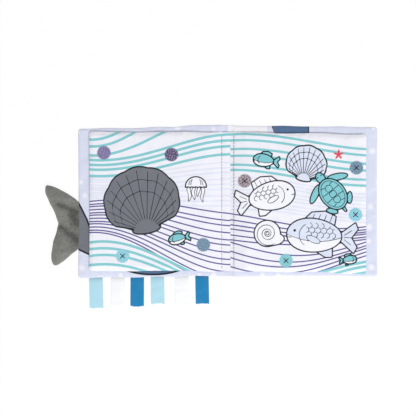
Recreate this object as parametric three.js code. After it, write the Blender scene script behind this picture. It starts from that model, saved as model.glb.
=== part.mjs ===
// A square crinkle cloth book lying open: two padded covers, a soft spine, two padded leaves,
// a stuffed plush tail on the front cover's fore-edge and six ribbon tags on its lower edge.
// Millimetres, +Z up. The origin is the middle of the spine's outer face, on the table.

import * as THREE from 'three';

// Covers
const coverHeight = 160;
const coverWidth = 154.8; // from a spine fold to the fore-edge
const coverThickness = 3.2;
const coverCorner = 5;
const coverDrawIn = 0.8; // how far a side pulls in between its corners
const coverSeamHeight = 1.6; // the sewn rim's mid plane above the table
const frontCoverSkew = 2; // the front cover lies this much lower at its fore-edge

// Leaves
const leafHeight = 149;
const leafReach = 148; // from the spine's middle to the fore-edge
const leafThickness = 3.3;
const leafCorner = 4;
const leafDrawIn = 0.7;
const leafSeamHeight = 1.1; // above the leaf's underside
const rightLeafSkew = 2.4;

// Cloth, filling and seams
const clothThickness = 0.4;
const seamAllowance = 3;
const edgeRoll = 8; // a panel swells to its full height over this width
const domeShare = 0.25; // part of the swell that is lost towards the corners
const filmThickness = 0.2;
const filmCrinkle = 0.15;
const layerGap = 0.3; // between layers that lie on each other
const foldGap = 0.3; // between a piece's end and the fold or seam beside it
const facingGap = 0.4; // between the two leaves of the closed book
const panelSteps = 4; // grid steps across a panel's middle
const rimLines = 4; // grid lines between a panel's edge and its filling

// Gutter
const marginPly = 0.8; // two page cloths sewn together
const marginStitchInset = 0.5; // thread line from the margin's inner end
const threadWidth = 0.8;
const threadHeight = 0.45;
const threadSink = 0.3; // how far the line dips between two stitches
const stitchPitch = 5;
const gutterTaper = 0.5;
const gutterDip = 0.4; // the gutter cloth is this much lower along its middle
const spineFlatShare = 0.6; // part of the spine's width that lies flat on the table

// Tail
const tailSpan = 86; // tip to tip
const tailReach = 34.8; // from its seam to the outermost tip
const tailTopRise = 9; // swell above the seam plane
const tailSeamHeight = 1.9;
const tailUpperTip = 17.6; // upper tip above the spine's middle height
const plushThickness = 0.9;
const tailRim = 0.5;
const tailFlatCut = 0.5;

// Ribbon tags
const ribbonWidth = 14.4;
const ribbonLength = 32;
const ribbonThickness = 0.4;
const ribbonEye = 0.9; // gap inside the folded end
const ribbonPlaceShares = [0.877, 0.725, 0.591, 0.452, 0.284, 0.144];
const ribbonLengthShares = [1, 0.96, 0.975, 0.9, 0.96, 0.91];

// Heights and folds worked out from the sizes above
const foldHeight = coverSeamHeight + clothThickness;
const leafBottom = coverThickness + layerGap;
const leafTop = leafBottom + leafThickness;
const halfSpine = leafTop - foldHeight + facingGap / 2;
const coverStart = halfSpine + foldGap;
const leafStart = 2 * halfSpine + facingGap;
const marginStart = coverStart + foldGap / 2;
const marginEnd = leafStart - foldGap;
const foreEdge = coverStart + coverWidth;

const finishes = {
  outerCloth: { color: 0xdce0f0, roughness: 0.85 },
  lining: { color: 0xd6daef, roughness: 0.85 },
  pageCloth: { color: 0xf2f2f8, roughness: 0.8 },
  wadding: { color: 0xf6f4ee, roughness: 1 },
  film: { color: 0xdfe6ea, roughness: 0.25 },
  thread: { color: 0xf8f8fb, roughness: 0.6 },
  plush: { color: 0x787875, roughness: 1 },
  lightBlueRibbon: { color: 0xadd8e8, roughness: 0.4 },
  whiteRibbon: { color: 0xf0f5fa, roughness: 0.4 },
  darkBlueRibbon: { color: 0x167db9, roughness: 0.4 },
};

const book = new THREE.Group();

function addPiece(name, finish, geometry) {
  const material = new THREE.MeshStandardMaterial({ ...finishes[finish], metalness: 0 });
  const mesh = new THREE.Mesh(geometry, material);
  mesh.name = name;
  book.add(mesh);
}

// A closed solid over a grid: columns and rows give the plan, top and bottom give the heights.
function gridSolid(columns, rows, planAt, topAt, bottomAt) {
  const points = [];
  const faces = [];
  const across = columns.length;
  const layer = across * rows.length;
  for (const heightAt of [bottomAt, topAt]) {
    for (const row of rows) {
      for (const column of columns) {
        const [x, y] = planAt(column, row);
        points.push(x, y, heightAt(column, row));
      }
    }
  }
  const quad = (a, b, c, d) => faces.push(a, b, c, a, c, d);
  for (let j = 0; j + 1 < rows.length; j += 1) {
    for (let i = 0; i + 1 < across; i += 1) {
      const a = j * across + i;
      quad(a, a + across, a + across + 1, a + 1);
      quad(layer + a, layer + a + 1, layer + a + across + 1, layer + a + across);
    }
  }
  const rim = [];
  for (let i = 0; i < across; i += 1) rim.push(i);
  for (let j = 1; j < rows.length; j += 1) rim.push(j * across + across - 1);
  for (let i = across - 2; i >= 0; i -= 1) rim.push((rows.length - 1) * across + i);
  for (let j = rows.length - 2; j > 0; j -= 1) rim.push(j * across);
  rim.forEach((a, k) => {
    const b = rim[(k + 1) % rim.length];
    quad(a, b, layer + b, layer + a);
  });
  const geometry = new THREE.BufferGeometry();
  geometry.setAttribute('position', new THREE.Float32BufferAttribute(points, 3));
  geometry.setIndex(faces);
  geometry.computeVertexNormals();
  return geometry;
}

// How far a panel has swollen at a distance from its edge: a quarter of a sine wave.
function swell(distance, start, width) {
  const share = THREE.MathUtils.clamp((distance - start) / width, 0, 1);
  return Math.sin((share * Math.PI) / 2);
}

// Grid lines of a panel, as distances from one end: close together near both edges.
function gridLines(length, corner, middleSteps) {
  const swollen = seamAllowance + edgeRoll;
  const edge = [0, corner / 4, seamAllowance, seamAllowance + edgeRoll / 3, swollen];
  const lines = [...edge];
  for (let k = 1; k < middleSteps; k += 1) {
    lines.push(swollen + ((length - 2 * swollen) * k) / middleSteps);
  }
  for (const distance of edge.reverse()) lines.push(length - distance);
  return lines;
}

// A quilted panel: a cloth below and a cloth above that meet in a flat sewn rim, with wadding
// and crinkle film between. side is -1 on the left and 1 on the right of the spine.
class Panel {
  constructor({ side, start, width, height, corner, drawIn, skew, bottom, seam, top }) {
    Object.assign(this, { side, start, width, height, corner, drawIn, skew, bottom, seam, top });
    this.columns = gridLines(width, corner, panelSteps);
    this.rows = gridLines(height, corner, panelSteps);
    if (side < 0) this.columns.reverse();
  }

  // Plan place of a grid point: round corners, sides pulled in, and the whole sheared by skew.
  planAt(across, up) {
    const fromMiddle = up - this.height / 2;
    const intoCorner = Math.max(0, Math.abs(fromMiddle) - (this.height / 2 - this.corner));
    const inset = this.corner - Math.sqrt(this.corner ** 2 - intoCorner ** 2);
    const upShare = fromMiddle / (this.height / 2);
    const acrossShare = (2 * across) / this.width - 1;
    const half = this.width / 2;
    const pull = this.drawIn * (1 - upShare ** 2) * Math.max(0, acrossShare);
    const x = half + acrossShare * (half - inset) - pull;
    const y = upShare * (this.height / 2 - this.drawIn * (1 - acrossShare ** 2));
    return [this.side * (this.start + x), y - (this.skew * x) / this.width];
  }

  swellAt(across, up, start, width) {
    const acrossEdge = Math.min(across, this.width - across);
    const upEdge = Math.min(up, this.height - up);
    return swell(acrossEdge, start, width) * swell(upEdge, start, width);
  }

  domeAt(across, up) {
    const u = (2 * across) / this.width - 1;
    const v = (2 * up) / this.height - 1;
    return 1 - domeShare * (1 - (1 - u ** 2) * (1 - v ** 2));
  }

  outer(across, up) {
    return this.swellAt(across, up, 0, seamAllowance + edgeRoll);
  }

  inner(across, up) {
    return this.swellAt(across, up, seamAllowance, edgeRoll);
  }

  topFace(across, up) {
    const rise = this.top - this.seam - clothThickness;
    return this.seam + clothThickness + rise * this.outer(across, up) * this.domeAt(across, up);
  }

  topInside(across, up) {
    const rise = this.top - this.seam - clothThickness;
    return this.seam + rise * this.inner(across, up) * this.domeAt(across, up);
  }

  bottomFace(across, up) {
    const drop = this.seam - this.bottom - clothThickness;
    return this.seam - clothThickness - drop * this.outer(across, up);
  }

  bottomInside(across, up) {
    const drop = this.seam - this.bottom - clothThickness;
    return this.seam - drop * this.inner(across, up);
  }

  solid(columns, rows, topAt, bottomAt) {
    return gridSolid(columns, rows, (a, u) => this.planAt(a, u), topAt, bottomAt);
  }

  upperCloth() {
    const topAt = (a, u) => this.topFace(a, u);
    return this.solid(this.columns, this.rows, topAt, (a, u) => this.topInside(a, u));
  }

  lowerCloth() {
    const topAt = (a, u) => this.bottomInside(a, u);
    return this.solid(this.columns, this.rows, topAt, (a, u) => this.bottomFace(a, u));
  }

  // The filling starts where the panel has its full height.
  innerLines(lines) {
    return lines.slice(rimLines, lines.length - rimLines);
  }

  filmMiddle(across, up) {
    return this.topInside(across, up) - layerGap - filmCrinkle - filmThickness / 2;
  }

  crinkleFilm() {
    const columns = this.innerLines(this.columns);
    const rows = this.innerLines(this.rows);
    const crumple = (a, u) => filmCrinkle * (-1) ** (columns.indexOf(a) + rows.indexOf(u));
    const middle = (a, u) => this.filmMiddle(a, u) + crumple(a, u);
    const half = filmThickness / 2;
    return this.solid(columns, rows, (a, u) => middle(a, u) + half, (a, u) => middle(a, u) - half);
  }

  wadding() {
    const below = filmThickness / 2 + filmCrinkle + layerGap;
    const topAt = (a, u) => this.filmMiddle(a, u) - below;
    const bottomAt = (a, u) => this.bottomInside(a, u) + layerGap;
    return this.solid(this.innerLines(this.columns), this.innerLines(this.rows), topAt, bottomAt);
  }
}

const coverSizes = {
  start: coverStart,
  width: coverWidth,
  height: coverHeight,
  corner: coverCorner,
  drawIn: coverDrawIn,
  bottom: 0,
  seam: coverSeamHeight,
  top: coverThickness,
};
const leafSizes = {
  start: leafStart,
  width: leafReach - leafStart,
  height: leafHeight,
  corner: leafCorner,
  drawIn: leafDrawIn,
  bottom: leafBottom,
  seam: leafBottom + leafSeamHeight,
  top: leafTop,
};
const frontCover = new Panel({ ...coverSizes, side: -1, skew: frontCoverSkew });
const backCover = new Panel({ ...coverSizes, side: 1, skew: 0 });
const leftLeaf = new Panel({ ...leafSizes, side: -1, skew: 0 });
const rightLeaf = new Panel({ ...leafSizes, side: 1, skew: rightLeafSkew });

function addCover(name, panel) {
  addPiece(`${name}_outer_cloth`, 'outerCloth', panel.lowerCloth());
  addPiece(`${name}_wadding`, 'wadding', panel.wadding());
  addPiece(`${name}_crinkle_film`, 'film', panel.crinkleFilm());
  addPiece(`${name}_lining`, 'lining', panel.upperCloth());
}

function addLeaf(name, panel) {
  addPiece(`${name}_back_cloth`, 'pageCloth', panel.lowerCloth());
  addPiece(`${name}_wadding`, 'wadding', panel.wadding());
  addPiece(`${name}_crinkle_film`, 'film', panel.crinkleFilm());
  addPiece(`${name}_front_cloth`, 'pageCloth', panel.upperCloth());
}

// A strip along the gutter: its section is given as [x, low, high] from left to right.
function gutterStrip(section, length) {
  const places = section.map(([x]) => x);
  const at = (x) => section[places.indexOf(x)];
  const rows = [-length / 2, length / 2];
  return gridSolid(places, rows, (x, y) => [x, y], (x) => at(x)[2], (x) => at(x)[1]);
}

function addSpine() {
  const end = halfSpine - foldGap;
  const flat = spineFlatShare * end;
  const rim = coverSeamHeight - clothThickness;
  const outer = [
    [-end, rim, coverSeamHeight],
    [-flat, 0, clothThickness],
    [flat, 0, clothThickness],
    [end, rim, coverSeamHeight],
  ];
  addPiece('spine_outer_cloth', 'outerCloth', gutterStrip(outer, coverHeight - 2 * coverDrawIn));
  const lining = [
    [-end, coverSeamHeight, foldHeight],
    [end, coverSeamHeight, foldHeight],
  ];
  addPiece('spine_lining', 'lining', gutterStrip(lining, coverHeight - 2 * coverDrawIn));
}

// The page cloth between the two stitch lines, folded down along the middle of the book.
function addGutterCloth() {
  const low = foldHeight + layerGap;
  const high = low + marginPly;
  const threadTop = marginHeight(marginStart + marginStitchInset + threadWidth) + marginPly;
  const folded = threadTop + layerGap / 2 + threadHeight - foldHeight;
  const end = halfSpine - folded - foldGap; // clear of the stitches when the book is closed
  const shoulder = end - gutterTaper;
  const section = [
    [-end, low, low + marginPly / 4],
    [-shoulder, low, high],
    [0, low, high - gutterDip],
    [shoulder, low, high],
    [end, low, low + marginPly / 4],
  ];
  addPiece('gutter_cloth', 'pageCloth', gutterStrip(section, leafHeight));
}

// The soft margin of a page: it rises from the stitch line to the leaf's sewn rim.
function marginHeight(x) {
  const low = foldHeight + layerGap;
  const rise = leafBottom + leafSeamHeight - clothThickness - low;
  return low + (rise * (x - marginStart)) / (marginEnd - marginStart);
}

function addMargin(name, side, skew) {
  const ends = side < 0 ? [marginEnd, marginStart] : [marginStart, marginEnd];
  const half = leafHeight / 2;
  const planAt = (x, y) => [side * x, y - (skew * (x - marginStart)) / leafReach];
  const topAt = (x) => marginHeight(x) + marginPly;
  addPiece(name, 'pageCloth', gridSolid(ends, [-half, half], planAt, topAt, marginHeight));
}

// One line of thread along a margin, rising over each stitch and dipping between two.
function addStitchLine(name, side) {
  const near = marginStart + marginStitchInset;
  const far = near + threadWidth;
  const columns = side < 0 ? [far, near] : [near, far];
  const count = Math.round((leafHeight - 2 * seamAllowance) / stitchPitch);
  const length = count * stitchPitch;
  const rows = [];
  for (let k = 0; k <= 2 * count; k += 1) rows.push((k * stitchPitch) / 2);
  const seat = marginHeight(far) + marginPly + layerGap / 2;
  const dipAt = (y) => (rows.indexOf(y) % 2 === 0 ? threadSink : 0);
  const planAt = (x, y) => [side * x, y - length / 2];
  const topAt = (x, y) => seat + threadHeight - dipAt(y);
  addPiece(name, 'thread', gridSolid(columns, rows, planAt, topAt, () => seat));
}

// The fluke's outline at heights from its upper tip to its lower tip. Each row holds the share
// of the span, then the shares of the reach where the outer and the inner edge lie.
const tailOutlineShares = [
  [0, 0.955, 0.87],
  [0.025, 0.99, 0.7],
  [0.065, 1, 0.46],
  [0.107, 0.985, 0.24],
  [0.17, 0.93, 0.07],
  [0.225, 0.86, 0],
  [0.34, 0.71, 0],
  [0.47, 0.6, 0],
  [0.59, 0.66, 0],
  [0.71, 0.755, 0],
  [0.785, 0.78, 0],
  [0.87, 0.8, 0.27],
  [0.93, 0.79, 0.46],
  [0.97, 0.76, 0.6],
  [1, 0.715, 0.66],
];
// How plump the fluke is in each of those rows, and across each row from the outer edge.
const tailPlumpShares = [0, 0.4, 0.7, 0.85, 0.95, 1, 0.8, 0.62, 0.74, 0.95, 1, 0.85, 0.6, 0.3, 0];
const tailAcrossShares = [0, 0.07, 0.22, 0.42, 0.64, 0.84, 1];
const stuffingInset = 3; // outline rows between a tip and the stuffing

function tailPlan(across, row) {
  const [down, outerEdge, innerEdge] = tailOutlineShares[row];
  const reach = tailReach * THREE.MathUtils.lerp(outerEdge, innerEdge, across);
  return [-(foreEdge + foldGap + reach), tailUpperTip - tailSpan * down];
}

// The swell across the fluke: round at the outer edge, flat towards the sewn edge.
function tailSwell(across, row) {
  const sewn = tailOutlineShares[row][2] === 0 ? 1 - across ** 2 : 1;
  return tailPlumpShares[row] * Math.sqrt(Math.sin(Math.PI * across)) * Math.sqrt(sewn);
}

const tailRows = tailOutlineShares.map((share, row) => row).reverse();

function tailTop(across, row) {
  return tailSeamHeight + tailRim + tailTopRise * tailSwell(across, row);
}

// The underside swells as far as the table and is flat where it lies on it.
function tailBottom(across, row) {
  const drop = tailSeamHeight - tailRim + tailFlatCut;
  return Math.max(0, tailSeamHeight - tailRim - drop * tailSwell(across, row));
}

// The plush is thin in the seam and has its full thickness where the fluke has swollen.
function plushAt(across, row) {
  return tailRim + (plushThickness - tailRim) * Math.min(1, 2 * tailSwell(across, row));
}

function addTail() {
  const solid = (columns, rows, topAt, bottomAt) =>
    gridSolid(columns, rows, tailPlan, topAt, bottomAt);
  const insideTop = (a, r) => tailTop(a, r) - plushAt(a, r);
  const insideBottom = (a, r) => Math.min(tailSeamHeight, tailBottom(a, r) + plushAt(a, r));
  addPiece('tail_top_plush', 'plush', solid(tailAcrossShares, tailRows, tailTop, insideTop));
  addPiece('tail_bottom_plush', 'plush', solid(tailAcrossShares, tailRows, insideBottom, tailBottom));
  const columns = tailAcrossShares.slice(2, -2);
  const rows = tailRows.slice(stuffingInset, -stuffingInset);
  const topAt = (a, r) => insideTop(a, r) - layerGap;
  const bottomAt = (a, r) => insideBottom(a, r) + layerGap;
  addPiece('tail_stuffing', 'wadding', solid(columns, rows, topAt, bottomAt));
}

// A ribbon folded end to end: both layers leave the cover's seam and lie flat on the table.
function ribbonSection(length) {
  const mid = ribbonThickness / 2;
  const eyeRadius = (ribbonEye + ribbonThickness) / 2;
  const slope = coverSeamHeight * 2;
  const turn = length - eyeRadius - mid;
  const middleLine = [
    [0, coverSeamHeight - mid - layerGap / 2],
    [slope, mid],
  ];
  const turnSteps = 6;
  for (let k = 0; k <= turnSteps; k += 1) {
    const angle = (Math.PI * k) / turnSteps - Math.PI / 2;
    const out = turn + eyeRadius * Math.cos(angle);
    middleLine.push([out, mid + eyeRadius * (1 + Math.sin(angle))]);
  }
  middleLine.push([slope, mid + 2 * eyeRadius]);
  middleLine.push([0, coverSeamHeight + mid + layerGap / 2]);
  const points = middleLine.map(([out, z]) => new THREE.Vector2(out, z));
  const offsetAt = (k, side) => {
    const before = points[Math.max(k - 1, 0)];
    const after = points[Math.min(k + 1, points.length - 1)];
    const along = after.clone().sub(before).normalize();
    return points[k].clone().add(new THREE.Vector2(along.y, -along.x).multiplyScalar(side * mid));
  };
  const outside = points.map((point, k) => offsetAt(k, 1));
  const inside = points.map((point, k) => offsetAt(k, -1)).reverse();
  return new THREE.Shape([...outside, ...inside]);
}

function addRibbon(name, finish, placeShare, lengthShare) {
  const place = placeShare * coverWidth;
  const edgeAt = (across) => frontCover.planAt(across, 0)[1];
  const edge = Math.min(edgeAt(place - ribbonWidth), edgeAt(place + ribbonWidth));
  const section = ribbonSection(ribbonLength * lengthShare);
  const geometry = new THREE.ExtrudeGeometry(section, { depth: ribbonWidth, bevelEnabled: false });
  // The section's first axis points out of the seam, its second up, its depth along the seam.
  const outOfSeam = new THREE.Vector3(0, -1, 0);
  const up = new THREE.Vector3(0, 0, 1);
  const along = new THREE.Vector3().crossVectors(outOfSeam, up);
  geometry.applyMatrix4(new THREE.Matrix4().makeBasis(outOfSeam, up, along));
  geometry.translate(ribbonWidth / 2 - coverStart - place, edge - foldGap, 0);
  addPiece(name, finish, geometry);
}

addCover('front_cover', frontCover);
addCover('back_cover', backCover);
addSpine();
addGutterCloth();
addMargin('left_page_margin', -1, 0);
addMargin('right_page_margin', 1, rightLeafSkew);
addStitchLine('left_binding_stitch', -1);
addStitchLine('right_binding_stitch', 1);
addLeaf('left_leaf', leftLeaf);
addLeaf('right_leaf', rightLeaf);
addTail();
const ribbonFinishes = ['lightBlueRibbon', 'whiteRibbon', 'darkBlueRibbon'];
ribbonPlaceShares.forEach((place, k) => {
  const finish = ribbonFinishes[k % ribbonFinishes.length];
  addRibbon(`ribbon_tag_${k + 1}`, finish, place, ribbonLengthShares[k]);
});

export default book;
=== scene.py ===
import bpy
import numpy as np
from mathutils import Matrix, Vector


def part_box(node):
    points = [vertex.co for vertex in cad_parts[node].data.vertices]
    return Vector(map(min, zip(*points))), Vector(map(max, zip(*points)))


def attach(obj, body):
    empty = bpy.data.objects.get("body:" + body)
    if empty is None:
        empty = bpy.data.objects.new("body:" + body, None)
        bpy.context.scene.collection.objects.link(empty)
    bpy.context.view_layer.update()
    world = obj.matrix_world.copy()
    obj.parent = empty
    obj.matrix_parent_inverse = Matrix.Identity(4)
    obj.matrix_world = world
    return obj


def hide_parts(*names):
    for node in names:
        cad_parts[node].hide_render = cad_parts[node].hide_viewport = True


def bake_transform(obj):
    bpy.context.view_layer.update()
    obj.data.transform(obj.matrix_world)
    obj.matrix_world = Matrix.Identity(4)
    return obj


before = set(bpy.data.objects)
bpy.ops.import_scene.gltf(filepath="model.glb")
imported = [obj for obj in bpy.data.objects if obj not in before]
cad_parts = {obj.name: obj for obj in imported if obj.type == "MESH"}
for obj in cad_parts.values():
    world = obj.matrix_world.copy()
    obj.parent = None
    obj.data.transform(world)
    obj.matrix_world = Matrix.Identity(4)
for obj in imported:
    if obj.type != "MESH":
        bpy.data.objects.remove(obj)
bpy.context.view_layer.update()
print("frame loaded with", len(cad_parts), "nodes")

mm = 0.001
tiny = 1e-6  # keeps a divisor above nought


def boxOf(node):
    # Lowest and highest corner of a node, in millimetres.
    low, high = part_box(node)
    return np.array(low) / mm, np.array(high) / mm


# Meshes


def addToScene(name, data):
    thing = bpy.data.objects.new(name, data)
    bpy.context.scene.collection.objects.link(thing)
    return thing


def addMesh(name, points, faces, materials):
    # A smooth mesh object from points in millimetres and faces, at the origin.
    mesh = bpy.data.meshes.new(name)
    mesh.from_pydata((points * mm).tolist(), [], list(faces))
    for material in materials:
        mesh.materials.append(material)
    mesh.polygons.foreach_set("use_smooth", np.ones(len(mesh.polygons), bool))
    mesh.update()
    return addToScene(name, mesh)


def addField(piece, name, values):
    # A number, or four for a colour, at each point of a piece.
    kind, key = ("FLOAT_COLOR", "color") if values.ndim == 2 else ("FLOAT", "value")
    layer = piece.data.attributes.new(name, kind, "POINT")
    layer.data.foreach_set(key, values.astype(np.float32).ravel())


def pointsOf(x, y, z):
    return np.stack([x, y, z], axis=-1).reshape(-1, 3)


def gridFaces(index):
    # Quads between neighbouring rows and columns of an index array, seen from above.
    corners = (index[:-1, :-1], index[:-1, 1:], index[1:, 1:], index[1:, :-1])
    return np.stack([c.ravel() for c in corners], axis=1)


def addSkin(name, points, upper, lower, materials, walls=()):
    # A closed skin from an upper and a lower grid of point numbers, and walls between them if
    # they share no edge. The last material goes on the lower side.
    above, below = gridFaces(upper), gridFaces(lower)[:, ::-1]
    piece = addMesh(name, points, [*above, *below, *walls], materials)
    kind = np.zeros(len(piece.data.polygons), np.int32)
    kind[len(above) : len(above) + len(below)] = max(len(materials) - 1, 0)
    piece.data.polygons.foreach_set("material_index", kind)
    return piece


def addPillow(name, x, y, top, low, materials=()):
    # Two heights over one plan. The upper and the lower grid share the points along the edge.
    upper = np.arange(x.size).reshape(x.shape)
    lower = upper.copy()
    inner = lower[1:-1, 1:-1]
    inner[:] = x.size + np.arange(inner.size).reshape(inner.shape)
    under = pointsOf(*(values[1:-1, 1:-1] for values in (x, y, low)))
    points = np.concatenate([pointsOf(x, y, top), under])
    return addSkin(name, points, upper, lower, materials), upper, lower


# Shader nodes


def setSocket(tree, socket, value):
    # The output of another node is linked, and anything else is set.
    if isinstance(value, bpy.types.NodeSocket):
        tree.links.new(value, socket)
    else:
        socket.default_value = value


def addNode(tree, kind, inputs=(), **settings):
    # A node with its settings, and what goes into its sockets by name or number.
    node = tree.nodes.new(f"ShaderNode{kind}")
    for name, value in settings.items():
        setattr(node, name, value)
    for socket, value in dict(inputs).items():
        setSocket(tree, node.inputs[socket], value)
    return node


def mathNode(tree, operation, *values, **settings):
    return addNode(tree, "Math", enumerate(values), operation=operation, **settings).outputs[0]


def mixColour(tree, share, a, b):
    # Sockets 6 and 7 of a Mix node take its two colours and output 2 gives the mixed one.
    return addNode(tree, "Mix", {0: share, 6: a, 7: b}, data_type="RGBA").outputs[2]


def objectPlace(tree):
    return addNode(tree, "TexCoord").outputs["Object"]


def noiseAt(tree, place, scale, detail=2):
    inputs = {"Vector": place, "Scale": scale, "Detail": detail}
    return addNode(tree, "TexNoise", inputs).outputs["Fac"]


def fieldOf(tree, name):
    return addNode(tree, "Attribute", attribute_name=name).outputs


def newMaterial(name):
    material = bpy.data.materials.new(name)
    material.use_nodes = True
    return material, material.node_tree


def dressShader(tree, colour, height, user):
    # Colour and bump come by links. Plain values are set on the shader's own sockets.
    relief = {"Height": height, "Strength": user["relief"], "Distance": user["depth"] * mm}
    bump = addNode(tree, "Bump", relief).outputs[0]
    for label, value in {"Base Color": colour, "Normal": bump, **user["shader"]}.items():
        setSocket(tree, tree.nodes["Principled BSDF"].inputs[label], value)


# Camera and light

viewUser = {
    "pictureWidth": 443.7,  # millimetres across the frame at page height
    "middle": (-21.1, -6.9),
    "pageLevel": 5,
    "lens": 85,
    "sensor": 36,
    "clip": (0.05, 20),
    "worldLight": 0.63,
    "lampPlace": (0.9, -1.7, 2.1),
    "lampSize": 1.2,
    "lampPower": 52,
    "floorHalf": 3000,
    "floorTone": 0.94,
    "floorGlow": 0.94,  # share of plain white in what the camera sees of the floor
}


def addCamera(user):
    # Straight above the book, as far away as the lens needs for the picture's width.
    data = bpy.data.cameras.new("camera")
    data.lens, data.sensor_width = user["lens"], user["sensor"]
    data.clip_start, data.clip_end = user["clip"]
    distance = user["pictureWidth"] * user["lens"] / user["sensor"]
    x, y = user["middle"]
    camera = addToScene("camera", data)
    camera.location = (x * mm, y * mm, (distance + user["pageLevel"]) * mm)
    bpy.context.scene.camera = camera


def addLamp(user):
    # A round soft lamp that looks at the middle of the book.
    data = bpy.data.lights.new("keyLamp", "AREA")
    data.shape, data.size, data.energy = "DISK", user["lampSize"], user["lampPower"]
    lamp = addToScene("keyLamp", data)
    lamp.location = user["lampPlace"]
    x, y, z = user["lampPlace"]
    lamp.rotation_euler = (np.arctan2(np.hypot(x, y), z), 0, np.arctan2(y, x) + np.pi / 2)


def mixSeen(tree, shareOfSeen, unseen, seen, outKind):
    # One shader for the light that reaches the book and another for what the camera sees, which
    # is where it looks straight, by a reflection or through something clear.
    path = addNode(tree, "LightPath").outputs
    found = path["Is Camera Ray"]
    for kind in ("Is Glossy Ray", "Is Transmission Ray"):
        found = mathNode(tree, "MAXIMUM", found, path[kind])
    found = mathNode(tree, "MULTIPLY", found, shareOfSeen)
    mix = addNode(tree, "MixShader", {0: found, 1: unseen.outputs[0], 2: seen.outputs[0]})
    addNode(tree, outKind, {0: mix.outputs[0]})


def addWorld(strength):
    # The world lights the book at one strength and looks white to the camera.
    world = bpy.data.worlds.new("studio")
    bpy.context.scene.world = world
    world.use_nodes = True
    tree = world.node_tree
    tree.nodes.clear()
    white = (1, 1, 1, 1)
    light = addNode(tree, "Background", {"Color": white, "Strength": strength})
    mixSeen(tree, 1.0, light, addNode(tree, "Background", {"Color": white}), "OutputWorld")


def addFloor(user):
    # A pale floor that glows a little for the camera, so it stays near white and keeps the shadow.
    material, tree = newMaterial("floor")
    tree.nodes.clear()
    tone = user["floorTone"]
    cloth = addNode(tree, "BsdfDiffuse", {"Color": (tone, tone, tone, 1)})
    mixSeen(tree, user["floorGlow"], cloth, addNode(tree, "Emission"), "OutputMaterial")
    corners = user["floorHalf"] * np.array([(-1, -1, 0), (1, -1, 0), (1, 1, 0), (-1, 1, 0)])
    addMesh("floor", corners, [(0, 1, 2, 3)], [material])


bpy.context.scene.view_settings.view_transform = "Standard"
addCamera(viewUser)
addWorld(viewUser["worldLight"])
addLamp(viewUser)
addFloor(viewUser)
print("camera, lamp and floor made")


# Colours are written as seen on screen, 0 to 255, and turned into linear light.

inks = {
    "page": (237, 237, 246),
    "teal": (132, 201, 206),
    "purple": (98, 88, 148),
    "pale": (224, 227, 243),
    "lavender": (215, 219, 238),
    "spineWhite": (238, 238, 244),
    "grey": (114, 117, 125),
    "outline": (26, 33, 40),
    "paleFill": (217, 224, 241),
    "whiteFill": (241, 241, 248),
    "tealFill": (130, 200, 208),
    "navy": (82, 108, 144),
    "darkPurple": (92, 78, 118),
    "mauve": (156, 138, 146),
    "slate": (110, 140, 164),
    "lilac": (128, 118, 164),
    "skyBlue": (142, 206, 222),
    "coral": (224, 66, 80),
    "dot": (246, 246, 250),
}


def linear(colour):
    # Screen colour to linear light, by the usual sRGB curve, and opaque.
    share = np.array(colour, float) / 255
    light = np.where(share <= 0.04045, share / 12.92, ((share + 0.055) / 1.055) ** 2.4)
    return (*light, 1.0)


# Numbers that every surface uses


def softNoise(x, y, size, seed, waves=16):
    # A sum of plane waves in random directions, about size long, with a spread near 1.
    draw = np.random.default_rng(seed)
    total = np.zeros(np.broadcast(x, y).shape)
    lowest, highest = (0, 0, 0.6), (2 * np.pi, 2 * np.pi, 1.7)
    for turn, phase, stretch in draw.uniform(lowest, highest, (waves, 3)):
        reach = 2 * np.pi / (size * stretch)
        total += np.cos(reach * (x * np.cos(turn) + y * np.sin(turn)) + phase)
    return total / np.sqrt(waves / 2)


def lineNoise(x, size, seed):
    # The same along one direction only.
    return softNoise(x, 0 * x, size, seed)


def quarterWave(distance, width):
    # 0 at the edge, rising to 1 at width, by a quarter of a sine wave.
    return np.sin(np.clip(distance / width, 0, 1) * np.pi / 2)


def roundEdge(distance, radius):
    # The height of a quarter circle at that distance from the edge, 1 past its radius.
    share = np.clip(distance / radius, 0, 1)
    return np.sqrt(share * (2 - share))


def fineLines(length, step):
    # Grid lines over a length: even inside and crowded towards both ends.
    edge = np.array([0, 0.05, 0.2, 0.45, 0.8, 1.25, 1.8])
    first = 2.4
    count = max(2, int(round((length - 2 * first) / step)) + 1)
    return np.concatenate([edge, np.linspace(first, length - first, count), length - edge[::-1]])


# Prints: distances from a drawn shape, less than 0 inside it

penUser = {
    "outline": 0.68,  # half the width of a drawn outline
    "detail": 0.4,  # and of the finer lines inside it
    "blur": 0.7,
    "pageEdges": (5, 148),
    "button": 7.2,
    "buttonRim": 0.5,
    "cross": 2.304,
    "crossHalf": 0.5,
    "fleckSize": 2.1,
    "fleckBlur": 0.6,
    "dotSpacing": 24,
    "dotFrom": 12,
    "dotBlur": 3.6,
    "dotStrength": 0.75,
}


def circle(x, y, cx, cy, radius):
    return np.hypot(x - cx, y - cy) - radius


def turned(x, y, cx, cy, degrees):
    # Coordinates about a centre, in axes turned by degrees.
    angle = np.radians(degrees)
    dx, dy = x - cx, y - cy
    return dx * np.cos(angle) + dy * np.sin(angle), dy * np.cos(angle) - dx * np.sin(angle)


def ellipse(x, y, halfLong, halfHigh):
    # Close to the distance from an ellipse: its level, divided by the level's slope.
    level = np.hypot(x / halfLong, y / halfHigh)
    slope = np.hypot(x / halfLong**2, y / halfHigh**2)
    return level * (level - 1) / np.maximum(slope, tiny)


def segment(x, y, ax, ay, bx, by):
    # Distance from a straight line between two points.
    ex, ey = bx - ax, by - ay
    along = np.clip(((x - ax) * ex + (y - ay) * ey) / (ex * ex + ey * ey), 0, 1)
    return np.hypot(x - ax - along * ex, y - ay - along * ey)


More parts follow.
